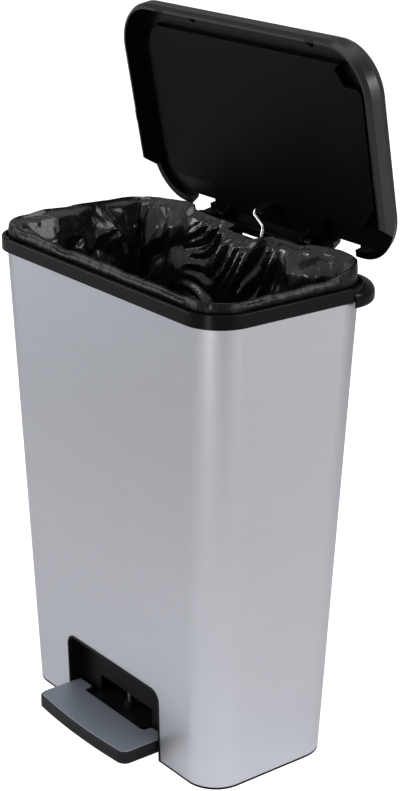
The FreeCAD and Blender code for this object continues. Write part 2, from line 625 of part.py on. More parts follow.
def make_lid_cover():
    """The lid's shell: a bevelled lip, a skirt and a drawn-in crown, open at the rear for the hinge."""
    body = new_body("lid_cover")
    lip = "sizes.lid_lip"
    bevel_top = "sizes.lid_lip + sizes.lip_bevel"
    knee = "sizes.lid_lip + sizes.lid_skirt"
    top = "sizes.lid_lip + sizes.lid_thick"

    def drawn_in(inset, low, high, more="0"):
        """An outline whose inset grows from 0 at one height to its full value at another."""
        def draw(sketch, height):
            lid_outline(f"({more}) + ({inset}) * (({height}) - ({low})) / (({high}) - ({low}))")(sketch)
        return draw

    loft(body, "AdditiveLoft", lip, bevel_top, drawn_in("sizes.lip_inset", bevel_top, lip))
    slab(body, bevel_top, knee, lid_outline("0"))
    dome = loft(body, "AdditiveLoft", knee, top, drawn_in("sizes.crown_inset", knee, top))
    at_top = lambda box: abs(box.ZMin - number(top)) < 0.01 and box.ZLength < 0.01
    round_edges(body, dome, "sizes.crown_edge", at_top)
    inside_lip = drawn_in("sizes.lip_inset", bevel_top, lip, "sizes.lid_wall")
    loft(body, "SubtractiveLoft", lip, bevel_top, inside_lip)
    sink(body, bevel_top, knee, lid_outline("sizes.lid_wall"))
    sink(body, knee, f"{top} - sizes.crown_wall", lid_outline("sizes.crown_inset + sizes.lid_wall"))

    def rear_step(sketch):
        high = "sizes.lid_lip + sizes.rear_step_high"
        below = "sizes.lid_lip - 5"
        behind = "sizes.rear_step_end + 60"
        lead = "sizes.rear_step_start - 4"
        points = [(lead, below), (behind, below), (behind, high), ("sizes.rear_step_end", high)]
        polygon(sketch, points)

    apron_half = "sizes.rear_step_near"
    apron_rear = "sizes.lid_centre + sizes.lid_deep / 2 + sizes.apron_out"
    apron_front = f"{apron_rear} - sizes.apron_out - sizes.apron_wall"
    apron = lambda sketch: rectangle(sketch, f"-{apron_half}", apron_half, apron_front, apron_rear)
    slab(body, "sizes.apron_low", bevel_top, apron)
    beyond = "(sizes.lid_wide / 2 + 5)"
    cuts = [("sizes.post_way_near", "sizes.post_way_far"), ("sizes.rear_step_near", beyond)]
    for near, far in cuts:
        for start in (far, f"-{near}"):
            step = new_sketch(body, "YZ_Plane", start)
            rear_step(step)
            pocket(body, step, f"{far} - {near}")
    behind = "sizes.axis_y + 10"
    near, far = "sizes.window_near", "sizes.window_far"
    for left, right in ((near, far), (f"-{far}", f"-{near}")):
        window = lambda sketch: rectangle(sketch, left, right, "sizes.window_front", behind)
        sink(body, "sizes.lid_lip - 1", f"{top} + 1", window)
    front_wall = "sizes.lid_centre - sizes.lid_deep / 2 + sizes.lid_wall"
    front_crown = f"{front_wall} + sizes.crown_inset"
    roof = f"{top} - sizes.crown_wall + 0.5"
    rib = [(f"{front_wall} - 0.5", "sizes.lid_lip + 8"), (f"{front_crown} + sizes.gusset_long", roof)]
    rib += [(f"{front_crown} - 0.5", roof), (f"{front_wall} - 0.5", knee)]
    for start in ("-sizes.gusset_out", "sizes.gusset_out"):
        gusset = new_sketch(body, "YZ_Plane", start)
        polygon(gusset, rib)
        pad(body, gusset, "sizes.gusset_thick")
    open_lid(body)


def make_lid_inner_panel():
    """The shallow tray inside the lid: a ledge with cut corners around a face with round ones."""
    body = new_body("lid_inner_panel")
    half = "sizes.panel_wide / 2"
    rear = "sizes.panel_rear"
    front = "sizes.panel_front"
    ledge = [(f"{half} - 26", rear), (half, f"{rear} - 31"), (half, f"{front} + 33")]
    ledge += [(f"{half} - 7", f"{front} + 26.5"), (f"{half} - 28", f"{front} + 26")]
    ledge += [(f"{half} - 42", f"{front} + 8"), (f"{half} - 32", front)]
    ledge += [(f"-{half} + 21", front), (f"-{half}", f"{front} + 29")]
    ledge += [(f"-{half}", f"{rear} - 31"), (f"-{half} + 18", rear)]
    ceiling = "sizes.lid_lip + sizes.lid_thick - sizes.crown_wall"
    left = f"-{half} + sizes.panel_inset"
    face = ledge[:7] + [(left, front), (left, rear)]
    tray = slab(body, "sizes.panel_low", ceiling, lambda sketch: polygon(sketch, face))
    at_left = lambda box: box.XLength < 0.01 and box.YLength < 0.01 and box.XMin < number(left) + 0.1
    tray = round_edges(body, tray, "sizes.panel_round", at_left)
    at_face = lambda box: abs(box.ZMax - size("panel_low")) < 0.01 and box.ZLength < 0.01
    round_edges(body, tray, "1.2", at_face)
    slab(body, "sizes.ledge_low", ceiling, lambda sketch: polygon(sketch, ledge))
    inner = "sizes.panel_wide / 2 - 44"
    back = lambda sketch: rectangle(sketch, f"-({inner})", inner, f"{front} + 4", f"{rear} - 4")
    sink(body, "sizes.panel_low + sizes.panel_wall", ceiling, back)
    open_lid(body)


def make_lid_hinge_box():
    """The plate at the lid's rear, whose two ears turn on the hinge pins."""
    body = new_body("lid_hinge_box")
    ceiling = "sizes.lid_lip + sizes.lid_thick - sizes.crown_wall"
    rear = "sizes.lid_centre + sizes.lid_deep / 2 - sizes.crown_inset - sizes.lid_wall - 1"
    half = "sizes.box_half"
    plate = lambda sketch: rectangle(sketch, f"-{half}", half, "sizes.panel_rear + 0.4", rear)
    slab(body, "sizes.box_plate_low", ceiling, plate)
    inner = "sizes.box_half - sizes.ear_thick"
    hollow = lambda sketch: rectangle(sketch, f"-({inner})", inner, "sizes.panel_rear + 3", f"{rear} - 3")
    sink(body, "sizes.box_plate_low + sizes.panel_wall", ceiling, hollow)
    for start in ("-sizes.ear_far", "sizes.ear_far - sizes.ear_thick"):
        ear = new_sketch(body, "YZ_Plane", start)
        foot = "sizes.box_plate_low + 1"
        points = [("sizes.axis_y - sizes.ear_round", "sizes.axis_z"), (rear, "sizes.axis_z")]
        points += [(rear, foot), ("sizes.axis_y - 2 * sizes.ear_round", foot)]
        polygon(ear, points)
        pad(body, ear, "sizes.ear_thick")
        knuckle = new_sketch(body, "YZ_Plane", start)
        circle(knuckle, "sizes.axis_y", "sizes.axis_z", "2 * sizes.ear_round")
        pad(body, knuckle, "sizes.ear_thick")
    bore = new_sketch(body, "YZ_Plane", "0")
    circle(bore, "sizes.axis_y", "sizes.axis_z", "sizes.pin_thick + 2 * sizes.running_gap")
    pocket(body, bore, "2 * sizes.box_half + 4", midplane=True)
    open_lid(body)


HOOK_CLOSED = (109.4, 620.9)


def make_rod_clip():
    """The clip under the hinge plate that the push rod's top end turns in."""
    hook_y, hook_z = HOOK_CLOSED
    near, wide = "sizes.clip_near", "sizes.clip_wide"
    round_wide = "2 * sizes.clip_round"
    stem_high = f"sizes.box_plate_low - {hook_z}"
    stem = block(near, f"{hook_y} - sizes.clip_round", f"{hook_z}", wide, round_wide, stem_high)
    eye = rod_along(ALONG_X, near, f"{hook_y}", f"{hook_z}", round_wide, wide)
    front_low = f"{hook_z} - sizes.clip_round"
    front_deep = f"{hook_y} - sizes.panel_rear - 0.6"
    front_high = f"{stem_high} + sizes.clip_round"
    front = block(near, "sizes.panel_rear + 0.6", front_low, wide, front_deep, front_high)
    solid = fused("clip_solid", [stem, eye, front], is_part=False)
    bore_wide = "sizes.rod_thick + 2 * sizes.running_gap"
    bore = rod_along(ALONG_X, "sizes.clip_near - 1", f"{hook_y}", f"{hook_z}", bore_wide, "sizes.clip_wide + 2")
    open_lid(cut("rod_clip", solid, bore))


def make_hinge_box_screws():
    """Two screws that hold the hinge plate to the lid."""
    screws = []
    low = "sizes.box_plate_low - sizes.screw_high"
    for x in ("-sizes.screw_out", "sizes.screw_out"):
        screws.append(rod_along(ALONG_Z, x, "sizes.screw_y", low, "sizes.screw_head", "sizes.screw_high"))
    open_lid(fused("hinge_box_screws", screws))


def make_lid_buffers():
    """Four small rubber buffers under the lid's lip."""
    long, wide, high = "sizes.buffer_long", "sizes.buffer_wide", "sizes.buffer_high"
    low = "sizes.lid_lip - sizes.buffer_high"
    side = "sizes.lid_wide / 2 - sizes.lip_inset - sizes.lid_wall / 2"
    front = "sizes.lid_centre - sizes.lid_deep / 2 + sizes.lip_inset + 0.3"
    buffers = [block(f"-({side}) - sizes.buffer_wide / 2", "20", low, wide, long, high)]
    buffers.append(block(f"{side} - sizes.buffer_wide / 2", "20", low, wide, long, high))
    for x in ("-150", "136"):
        buffers.append(block(x, front, low, long, wide, high))
    open_lid(fused("lid_buffers", buffers))


# ---------------------------------------------------------------- the pedal and the rod

def pedal_outline(sketch, inset, notch):
    """The pedal seen from above: straight sides, a bowed front edge and, for the pad, a notch."""
    half = size("pedal_half") - inset
    rear = size("pedal_rear") - inset
    corner_y = size("pedal_corner_y") + inset
    front = size("pedal_front_y") + inset
    vector = FreeCAD.Vector
    corners = [vector(-half, corner_y, 0), vector(-half, rear, 0)]
    if notch:
        edge = size("notch_half") + inset
        deep = size("notch_front") - inset
        corners += [vector(-edge, rear, 0), vector(-edge, deep, 0)]
        corners += [vector(edge, deep, 0), vector(edge, rear, 0)]
    corners += [vector(half, rear, 0), vector(half, corner_y, 0)]
    for start, end in zip(corners, corners[1:]):
        sketch.addGeometry(Part.LineSegment(start, end), False)
    bow = Part.Arc(corners[-1], vector(0, front, 0), corners[0])
    sketch.addGeometry(bow, False)
    count = sketch.GeometryCount
    for index in range(count):
        sketch.addConstraint(Sketcher.Constraint("Block", index))


def round_corners(body, base, radius, low, high):
    """Fillet the upright edges at the pedal's outer corners."""
    edge_x = size("pedal_half") - 6

    def outer_corner(box):
        upright = box.XLength < 0.01 and box.YLength < 0.01 and box.ZLength > 1
        return upright and abs(box.XMin) > edge_x and low < box.YMin < high
    return round_edges(body, base, radius, outer_corner)


FRONT_CORNERS = (-170, -100)
REAR_CORNERS = (-100, -60)


def make_pedal_body():
    """The black pedal with its rear arm, hub and the boss that holds the lever."""
    body = new_body("pedal_body")
    plate = slab(body, "sizes.pedal_low", "sizes.pedal_high", lambda sketch: pedal_outline(sketch, 0, False))
    plate = round_corners(body, plate, "sizes.pedal_corner", *FRONT_CORNERS)
    plate = round_corners(body, plate, "sizes.pedal_rear_corner", *REAR_CORNERS)
    at_top = lambda box: abs(box.ZMin - size("pedal_high")) < 0.01 and box.ZLength < 0.01
    round_edges(body, plate, "sizes.pedal_edge", at_top)
    notch_half = "sizes.notch_half"
    notch = lambda sketch: rectangle(sketch, f"-{notch_half}", notch_half, "sizes.notch_front", "-80")
    sink(body, "sizes.pedal_high - sizes.notch_deep", "sizes.pedal_high", notch)
    arm_rear = "sizes.axle_y + 6"
    arm = lambda sketch: rectangle(sketch, "-sizes.arm_half", "sizes.arm_half", "-100", arm_rear)
    slab(body, "sizes.pedal_low + 1", "sizes.arm_top", arm)
    boss_top = "sizes.arm_top + sizes.boss_high"
    boss = lambda sketch: circle(sketch, "0", "sizes.lever_tip_y", "sizes.boss_wide")
    slab(body, "sizes.arm_top", boss_top, boss)
    hub = new_sketch(body, "YZ_Plane", "0")
    circle(hub, "sizes.axle_y", "sizes.axle_z", "sizes.hub_thick")
    pad(body, hub, "2 * sizes.arm_half", midplane=True)
    groove_floor = "sizes.axle_z + sizes.axle_thick / 2 + 3"
    groove_half = "sizes.lever_thick / 2 + 0.2"
    groove_front, groove_rear = "sizes.lever_tip_y", "sizes.axle_y + 20"
    groove = lambda sketch: rectangle(sketch, f"-({groove_half})", groove_half, groove_front, groove_rear)
    sink(body, groove_floor, f"{boss_top} + 10", groove)
    socket = lambda sketch: circle(sketch, "0", "sizes.lever_tip_y", "sizes.lever_thick + 0.4")
    sink(body, groove_floor, f"{boss_top} + 10", socket)
    bore = new_sketch(body, "YZ_Plane", "0")
    circle(bore, "sizes.axle_y", "sizes.axle_z", "sizes.axle_thick + 2 * sizes.running_gap")
    pocket(body, bore, "2 * sizes.arm_half + 4", midplane=True)
    half = "sizes.pedal_half - sizes.pedal_wall"
    front = "sizes.pedal_corner_y + sizes.pedal_wall"
    rear = "sizes.notch_front - sizes.pedal_wall"
    hollow = lambda sketch: rectangle(sketch, f"-({half})", half, front, rear)
    sink(body, "sizes.pedal_low - 1", "sizes.pedal_hollow", hollow)


def make_pedal_pad():
    """The grey tread on top of the pedal, notched at the rear."""
    body = new_body("pedal_pad")
    low = "sizes.pedal_high"
    high = "sizes.pedal_high + sizes.pad_thick"
    plate = slab(body, low, high, lambda sketch: pedal_outline(sketch, size("pad_border"), True))
    plate = round_corners(body, plate, "sizes.pedal_corner - sizes.pad_border", *FRONT_CORNERS)
    upright = lambda box: box.XLength < 0.01 and box.YLength < 0.01 and box.ZLength > 1
    in_notch = lambda box: upright(box) and abs(box.XMin) < size("notch_half") + 10
    plate = round_edges(body, plate, "sizes.notch_corner", in_notch)
    at_top = lambda box: abs(box.ZMin - number(high)) < 0.01 and box.ZLength < 0.01
    round_edges(body, plate, "0.7", at_top)


FOOT_OPEN = (80.0, 57.0)


def make_pedal_lever():
    """The steel wire lever: an upturned tip in the boss, then a run back to the push rod."""
    run_z = size("axle_z") + size("axle_thick") / 2 + 3.1 + size("lever_thick") / 2
    side = size("lever_x")
    tip = (0, size("lever_tip_y"), run_z + size("lever_tip_high"))
    heel = (0, size("lever_tip_y"), run_z)
    knee = (0, size("axle_y") + 14, run_z)
    turn = (side, 26, run_z + 15)
    end = (side, FOOT_OPEN[0] - 18, FOOT_OPEN[1])
    wire_part("pedal_lever", [tip, heel, knee, turn, end], [6, 30, 30], size("lever_thick"))


def make_lever_eye():
    """The slotted plate at the lever's rear end that lifts the push rod's foot."""
    y, z = FOOT_OPEN
    low = f"{z} - sizes.eye_high / 2"
    plate = block("sizes.eye_x", f"{y} - 23", low, "sizes.eye_thick", "sizes.eye_long", "sizes.eye_high")
    slot = block("sizes.eye_x - 1", f"{y} - 13", f"{z} - 5", "sizes.eye_thick + 2", "17", "10.5")
    cut("lever_eye", plate, slot)


REAR_BEND = (113.2, 621.0)
UPPER_BEND = (119.0, 642.0)
TURN_BACK_X = -12.5
HOOK_END_X = 14.5


def make_push_rod():
    """The steel rod from the lever up the rear wall, with a sideways jog and a hook at the top."""
    foot_y, foot_z = FOOT_OPEN
    hook = lid_point((0, *HOOK_CLOSED))
    rod_x = size("rod_x")
    points = [(8, foot_y, foot_z), (rod_x, foot_y, foot_z), (rod_x, *REAR_BEND), (rod_x, *UPPER_BEND)]
    points += [(TURN_BACK_X, hook[1], hook[2]), (HOOK_END_X, hook[1], hook[2])]
    wire_part("push_rod", points, [5, 22, 7, 4.4], size("rod_thick"))


def make_rod_foot_cap():
    """The push-on cap that keeps the rod's foot in the slotted plate."""
    y, z = FOOT_OPEN
    ring = rod_along(ALONG_X, "8.5", f"{y}", f"{z}", "sizes.cap_wide", "sizes.cap_thick")
    hole = rod_along(ALONG_X, "8", f"{y}", f"{z}", "sizes.rod_thick", "sizes.cap_thick + 1")
    cut("rod_foot_cap", ring, hole)


def make_axle():
    """The pedal's steel axle, its two brackets and the clips at its ends."""
    y, z = "sizes.axle_y", "sizes.axle_z"
    axle = rod_along(ALONG_X, "-sizes.axle_half", y, z, "sizes.axle_thick", "2 * sizes.axle_half")
    axle.Label = "pedal_axle"
    PARTS.append(axle)
    thick = "sizes.bracket_far - sizes.bracket_near"
    wide = "sizes.bracket_wide"
    brackets = [("-sizes.bracket_far", "axle_bracket_left"), ("sizes.bracket_near", "axle_bracket_right")]
    for start, label in brackets:
        rise = f"{z} - sizes.plate_high"
        plate = block(start, f"{y} - {wide} / 2", "sizes.plate_high", thick, wide, rise)
        round_top = rod_along(ALONG_X, start, y, z, wide, thick)
        solid = fused("bracket_solid", [plate, round_top], is_part=False)
        hole = rod_along(ALONG_X, f"{start} - 1", y, z, "sizes.axle_thick", f"{thick} + 2")
        cut(label, solid, hole)
    rings = []
    for start in ("-sizes.bracket_far - 0.8 - sizes.axle_clip_thick", "sizes.bracket_far + 0.8"):
        disc = rod_along(ALONG_X, start, y, z, "sizes.axle_clip", "sizes.axle_clip_thick")
        hole = rod_along(ALONG_X, f"{start} - 1", y, z, "sizes.axle_thick", "sizes.axle_clip_thick + 2")
        rings.append(cut("ring", disc, hole, is_part=False))
    fused("axle_clips", rings)


def make_base_screws():
    """Six screws that hold the bottom plate, seen from below."""
    screws = []
    for x in (-150, 0, 150):
        for y in (-45, 60):
            head = rod_along(ALONG_Z, str(x), str(y), "sizes.plate_low - 1.4", "8", "1.4")
            screws.append(head)
    fused("base_screws", screws)


make_outer_shell()
make_base_frame()
make_pedal_recess()
make_inner_floor()
make_rim_collar()
make_hinge_housing()
make_hinge_pins()
make_liner_bag()
make_rod_guides()
make_lid_cover()
make_lid_inner_panel()
make_lid_hinge_box()
make_rod_clip()
make_hinge_box_screws()
make_lid_buffers()
make_pedal_body()
make_pedal_pad()
make_pedal_lever()
make_lever_eye()
make_push_rod()
make_rod_foot_cap()
make_axle()
make_base_screws()
doc.recompute()


# ---------------------------------------------------------------- checks and files

def check_document():
    """Stop if any object failed, any cut removed nothing or any part's shape is bad."""
    for item in doc.Objects:
        bad = [state for state in item.State if state in ("Invalid", "Error")]
        if bad:
            raise RuntimeError(f"{item.Name} ({item.Label}) is {bad}: {item.getStatusString()}")
        if item.TypeId in CUTTERS and not item.Shape.Volume < item.BaseFeature.Shape.Volume - 1e-3:
            raise RuntimeError(f"{item.Name} cuts nothing")
    for item in PARTS:
        if item.Shape.isNull() or not item.Shape.isValid():
            raise RuntimeError(f"{item.Label} has a bad shape")


check_document()
os.makedirs("parts", exist_ok=True)
for item in PARTS:
    item.Shape.exportStep(f"parts/{item.Label}.step")
    print(item.Label, len(item.Shape.Solids), round(item.Shape.Volume / 1000, 2), "cm3")
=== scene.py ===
import math

import bmesh
import bpy
import numpy as np
from mathutils import Matrix, Vector
from mathutils.bvhtree import BVHTree


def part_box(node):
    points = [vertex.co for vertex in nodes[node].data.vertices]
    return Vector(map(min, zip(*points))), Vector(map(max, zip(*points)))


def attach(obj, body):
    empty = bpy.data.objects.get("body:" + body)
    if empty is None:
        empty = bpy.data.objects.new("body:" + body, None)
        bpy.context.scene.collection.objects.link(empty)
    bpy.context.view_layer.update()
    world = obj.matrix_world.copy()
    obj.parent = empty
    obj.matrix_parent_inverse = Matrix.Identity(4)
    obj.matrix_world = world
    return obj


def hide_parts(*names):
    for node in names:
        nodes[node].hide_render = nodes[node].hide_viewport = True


# Looks of the pedal trash can: brushed steel, black mouldings and a crumpled film bag.
# Everything is in metres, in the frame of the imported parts.

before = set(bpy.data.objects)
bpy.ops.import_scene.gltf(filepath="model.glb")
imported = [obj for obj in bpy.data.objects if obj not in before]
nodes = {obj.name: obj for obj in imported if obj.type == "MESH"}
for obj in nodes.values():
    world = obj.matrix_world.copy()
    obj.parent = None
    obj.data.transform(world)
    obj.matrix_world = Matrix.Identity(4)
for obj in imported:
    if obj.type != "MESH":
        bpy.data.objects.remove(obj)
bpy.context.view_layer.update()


def corners(node):
    """The low and the high corner of a node's box."""
    low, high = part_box(node)
    return Vector(low), Vector(high)


# ---------------------------------------------------------------- building blocks of materials

def new_material(name, color, metallic, roughness):
    """A material with its main numbers set on the shader's own sockets."""
    material = bpy.data.materials.new(name)
    material.use_nodes = True
    shader = material.node_tree.nodes["Principled BSDF"]
    shader.inputs["Base Color"].default_value = (*color, 1)
    shader.inputs["Metallic"].default_value = metallic
    shader.inputs["Roughness"].default_value = roughness
    return material, shader


def add_node(material, kind, **settings):
    node = material.node_tree.nodes.new(kind)
    for name, value in settings.items():
        setattr(node, name, value)
    return node


def link(material, source, target):
    material.node_tree.links.new(source, target)


def feed(material, value, socket):
    """Sends an output into a socket, or sets the socket to a constant."""
    if isinstance(value, bpy.types.NodeSocket):
        link(material, value, socket)
    else:
        socket.default_value = value


def object_coordinates(material, scale=(1, 1, 1)):
    """Object coordinates, stretched by a scale along each axis."""
    place = add_node(material, "ShaderNodeTexCoord")
    mapping = add_node(material, "ShaderNodeMapping")
    mapping.inputs["Scale"].default_value = scale
    link(material, place.outputs["Object"], mapping.inputs["Vector"])
    return mapping.outputs["Vector"]


def noise(material, vector, scale, detail=2.0, roughness=0.5):
    texture = add_node(material, "ShaderNodeTexNoise")
    texture.inputs["Scale"].default_value = scale
    texture.inputs["Detail"].default_value = detail
    texture.inputs["Roughness"].default_value = roughness
    link(material, vector, texture.inputs["Vector"])
    return texture.outputs["Fac"]


def spread(material, value, low, high, top=1.0):
    """Maps a value that runs from 0 to top onto a range."""
    ranged = add_node(material, "ShaderNodeMapRange")
    ranged.inputs["From Max"].default_value = top
    ranged.inputs["To Min"].default_value = low
    ranged.inputs["To Max"].default_value = high
    link(material, value, ranged.inputs["Value"])
    return ranged.outputs["Result"]


def tint(material, value, dark, light):
    """A colour that goes from dark to light with a value."""
    ramp = add_node(material, "ShaderNodeValToRGB")
    for stop, position, color in zip(ramp.color_ramp.elements, (0.3, 0.7), (dark, light)):
        stop.position = position
        stop.color = (*color, 1)
    link(material, value, ramp.inputs["Fac"])
    return ramp.outputs["Color"]


def weighted(material, first, share, second=0.0):
    """first times share, plus second, which is an output or a constant."""
    node = add_node(material, "ShaderNodeMath", operation="MULTIPLY_ADD")
    link(material, first, node.inputs[0])
    node.inputs[1].default_value = share
    feed(material, second, node.inputs[2])
    return node.outputs[0]


def vector_math(material, operation, first, second):
    """A vector operation; the second operand is an output or a constant."""
    node = add_node(material, "ShaderNodeVectorMath", operation=operation)
    link(material, first, node.inputs[0])
    feed(material, second, node.inputs[1])
    return node


def outward(material, centre):
    """1 where a surface faces away from a centre, 0 where it faces towards it."""
    place = add_node(material, "ShaderNodeTexCoord")
    away = vector_math(material, "SUBTRACT", place.outputs["Object"], centre)
    facing = vector_math(material, "DOT_PRODUCT", away.outputs["Vector"], place.outputs["Normal"])
    outside = add_node(material, "ShaderNodeMath", operation="GREATER_THAN")
    outside.inputs[1].default_value = 0.0
    link(material, facing.outputs["Value"], outside.inputs[0])
    return outside.outputs[0]


def creases(material, vector, scale, width=0.12):
    """Thin straight ridges along the edges of a cell pattern, as creases in thin film."""
    texture = add_node(material, "ShaderNodeTexVoronoi", feature="DISTANCE_TO_EDGE")
    texture.inputs["Scale"].default_value = scale
    link(material, vector, texture.inputs["Vector"])
    return spread(material, texture.outputs["Distance"], 1.0, 0.0, top=width)


def bump(material, shader, height, strength, distance):
    node = add_node(material, "ShaderNodeBump")
    node.inputs["Strength"].default_value = strength
    node.inputs["Distance"].default_value = distance
    link(material, height, node.inputs["Height"])
    link(material, node.outputs["Normal"], shader.inputs["Normal"])


# ---------------------------------------------------------------- materials

GRAIN_DEPTH = 0.0002               # how deep the fine grain of sheet, plastic and tread is
PAINTED_SHADE_TOP = 0.60                   # the height where the sheet's painted light and shade stop changing
PAINTED_LIGHT_LOW, PAINTED_SHADE_HIGH = 1.10, 0.60  # and the painted brightness at the floor and from there up
BAG_CENTRE = (0.0, 0.0, 0.60)      # a point inside the bag, level with its upper part
LID_CENTRE = (0.0, 0.119, 0.763)   # the middle of the open lid's hollow
# Painted light and shade for the lid: a lighter colour for faces that point out of its hollow, a
# darker one for faces that point into it.
PAINTED_LIT_COLOR = (0.011, 0.011, 0.013)
PAINTED_SHADE_COLOR = (0.0020, 0.0020, 0.0024)


def brushed_sheet():
    """Coated sheet steel with fine brushing that runs level around the can, and painted light and
    shade: brighter near the floor, darker towards the top.
    """
    material, shader = new_material("brushed_sheet", (0.60, 0.61, 0.64), 0.92, 0.36)
    shader.inputs["Anisotropic"].default_value = 0.55
    tangent = add_node(material, "ShaderNodeTangent", direction_type="RADIAL", axis="Z")
    link(material, tangent.outputs["Tangent"], shader.inputs["Tangent"])
    streaks = noise(material, object_coordinates(material, (5, 5, 1600)), 1.0, 4.0, 0.65)
    clouds = noise(material, object_coordinates(material, (3, 3, 14)), 1.6, 3.0)
    mixed = weighted(material, streaks, 0.7, weighted(material, clouds, 0.3))
    color = tint(material, mixed, (0.735, 0.745, 0.79), (0.785, 0.795, 0.84))
    # Painted light and shade: the base colour is scaled brighter near the floor and darker towards
    # the top, standing in for how light falls on the sheet.
    place = add_node(material, "ShaderNodeSeparateXYZ")
    link(material, object_coordinates(material), place.inputs[0])
    painted_shade = spread(material, place.outputs["Z"], PAINTED_LIGHT_LOW, PAINTED_SHADE_HIGH, top=PAINTED_SHADE_TOP)
    painted_shade_color = add_node(material, "ShaderNodeVectorMath", operation="SCALE")
    link(material, color, painted_shade_color.inputs[0])
    link(material, painted_shade, painted_shade_color.inputs["Scale"])
    link(material, painted_shade_color.outputs["Vector"], shader.inputs["Base Color"])
    link(material, spread(material, streaks, 0.34, 0.42), shader.inputs["Roughness"])
    bump(material, shader, streaks, 0.035, GRAIN_DEPTH)
    return material


def moulded(name, dark, light, rough, grain, strength, shine):
    """Moulded plastic: dark, slightly cloudy, with a fine spark-eroded grain."""
    material, shader = new_material(name, dark, 0.0, rough)
    shader.inputs["Specular IOR Level"].default_value = shine
    clouds = noise(material, object_coordinates(material), 9.0, 3.0)
    link(material, tint(material, clouds, dark, light), shader.inputs["Base Color"])
    link(material, spread(material, clouds, rough - 0.04, rough + 0.06), shader.inputs["Roughness"])
    fine = noise(material, object_coordinates(material), grain, 2.0)
    bump(material, shader, fine, strength, GRAIN_DEPTH)
    return material


def bright_steel(name, color, rough):
    """Plated wire and pins with faint drawing marks."""
    material, shader = new_material(name, color, 1.0, rough)
    marks = noise(material, object_coordinates(material, (300, 300, 30)), 1.0, 2.0)
    darker = tuple(0.9 * part for part in color)
    link(material, tint(material, marks, darker, color), shader.inputs["Base Color"])
    link(material, spread(material, marks, rough - 0.06, rough + 0.1), shader.inputs["Roughness"])
    bump(material, shader, marks, 0.02, GRAIN_DEPTH / 2)
    return material


def pad_metal():
    """The pedal's tread: satin grey with fine speckle."""
    material, shader = new_material("pad_grey", (0.21, 0.23, 0.27), 0.25, 0.50)
    speckle = noise(material, object_coordinates(material), 900.0, 2.0)
    color = tint(material, speckle, (0.175, 0.20, 0.235), (0.205, 0.23, 0.27))
    link(material, color, shader.inputs["Base Color"])
    link(material, spread(material, speckle, 0.46, 0.56), shader.inputs["Roughness"])
    bump(material, shader, speckle, 0.12, GRAIN_DEPTH)
    return material


def lid_plastic():
    """The lid's shell, with painted light and shade: a pale sheen on the outside and its lip, a dull
    black inside.
    """
    material, shader = new_material("lid_black_plastic", PAINTED_LIT_COLOR, 0.0, 0.30)
    outside = outward(material, LID_CENTRE)
    # Painted light and shade: faces pointing out of the lid's hollow get the lighter colour and more
    # shine, faces pointing into it the darker colour and less shine.
    color = tint(material, outside, PAINTED_SHADE_COLOR, PAINTED_LIT_COLOR)
    link(material, color, shader.inputs["Base Color"])
    link(material, spread(material, outside, 0.12, 0.34), shader.inputs["Specular IOR Level"])
    fine = noise(material, object_coordinates(material), 1100.0, 2.0)
    link(material, spread(material, fine, 0.26, 0.36), shader.inputs["Roughness"])
    bump(material, shader, fine, 0.05, GRAIN_DEPTH)
    return material


def bag_film():
    """Thin black polythene: glossy on the bag's inside, duller outside, with small wrinkles."""
    material, shader = new_material("bag_film", (0.006, 0.006, 0.007), 0.0, 0.26)
    outside = outward(material, BAG_CENTRE)
    link(material, spread(material, outside, 0.42, 0.09), shader.inputs["Specular IOR Level"])
    link(material, spread(material, outside, 0.80, 0.06), shader.inputs["Coat Weight"])
    shader.inputs["Coat Roughness"].default_value = 0.07
    large = noise(material, object_coordinates(material, (1, 1, 0.6)), 40.0, 3.0)
    small = noise(material, object_coordinates(material, (1, 1, 0.35)), 230.0, 3.0, 0.6)
    color = tint(material, large, (0.0060, 0.0060, 0.0065), (0.0110, 0.0108, 0.0110))
    link(material, color, shader.inputs["Base Color"])
    link(material, spread(material, small, 0.20, 0.34), shader.inputs["Roughness"])
    upright = object_coordinates(material, (1, 1, 0.55))
    height = weighted(
        material, creases(material, upright, 62.0), 0.5, creases(material, upright, 24.0))
    height = weighted(material, small, 0.05, height)
    bump(material, shader, height, 0.34, 0.0016)
    return material


SHEET = brushed_sheet()
GLOSS = moulded("gloss_black_plastic", (0.0020, 0.0020, 0.0025), (0.0035, 0.0035, 0.004),
                rough=0.18, grain=420.0, strength=0.03, shine=0.09)
LID = lid_plastic()
INNER = moulded("inner_black_plastic", (0.0010, 0.0010, 0.0012), (0.0020, 0.0020, 0.0022),
                rough=0.42, grain=1100.0, strength=0.06, shine=0.05)
BASE = moulded("black_base_plastic", (0.003, 0.003, 0.0035), (0.005, 0.005, 0.006),
               rough=0.42, grain=900.0, strength=0.10, shine=0.16)
PEDAL = moulded("pedal_black_plastic", (0.005, 0.005, 0.007), (0.008, 0.008, 0.010),
                rough=0.38, grain=1000.0, strength=0.12, shine=0.20)
RUBBER = moulded("rubber_black", (0.006, 0.006, 0.006), (0.010, 0.010, 0.010),
                 rough=0.7, grain=700.0, strength=0.2, shine=0.25)
STEEL = bright_steel("steel", (0.72, 0.72, 0.73), 0.24)
DARK_STEEL = bright_steel("dark_steel", (0.025, 0.025, 0.028), 0.35)
PAD = pad_metal()
FILM = bag_film()

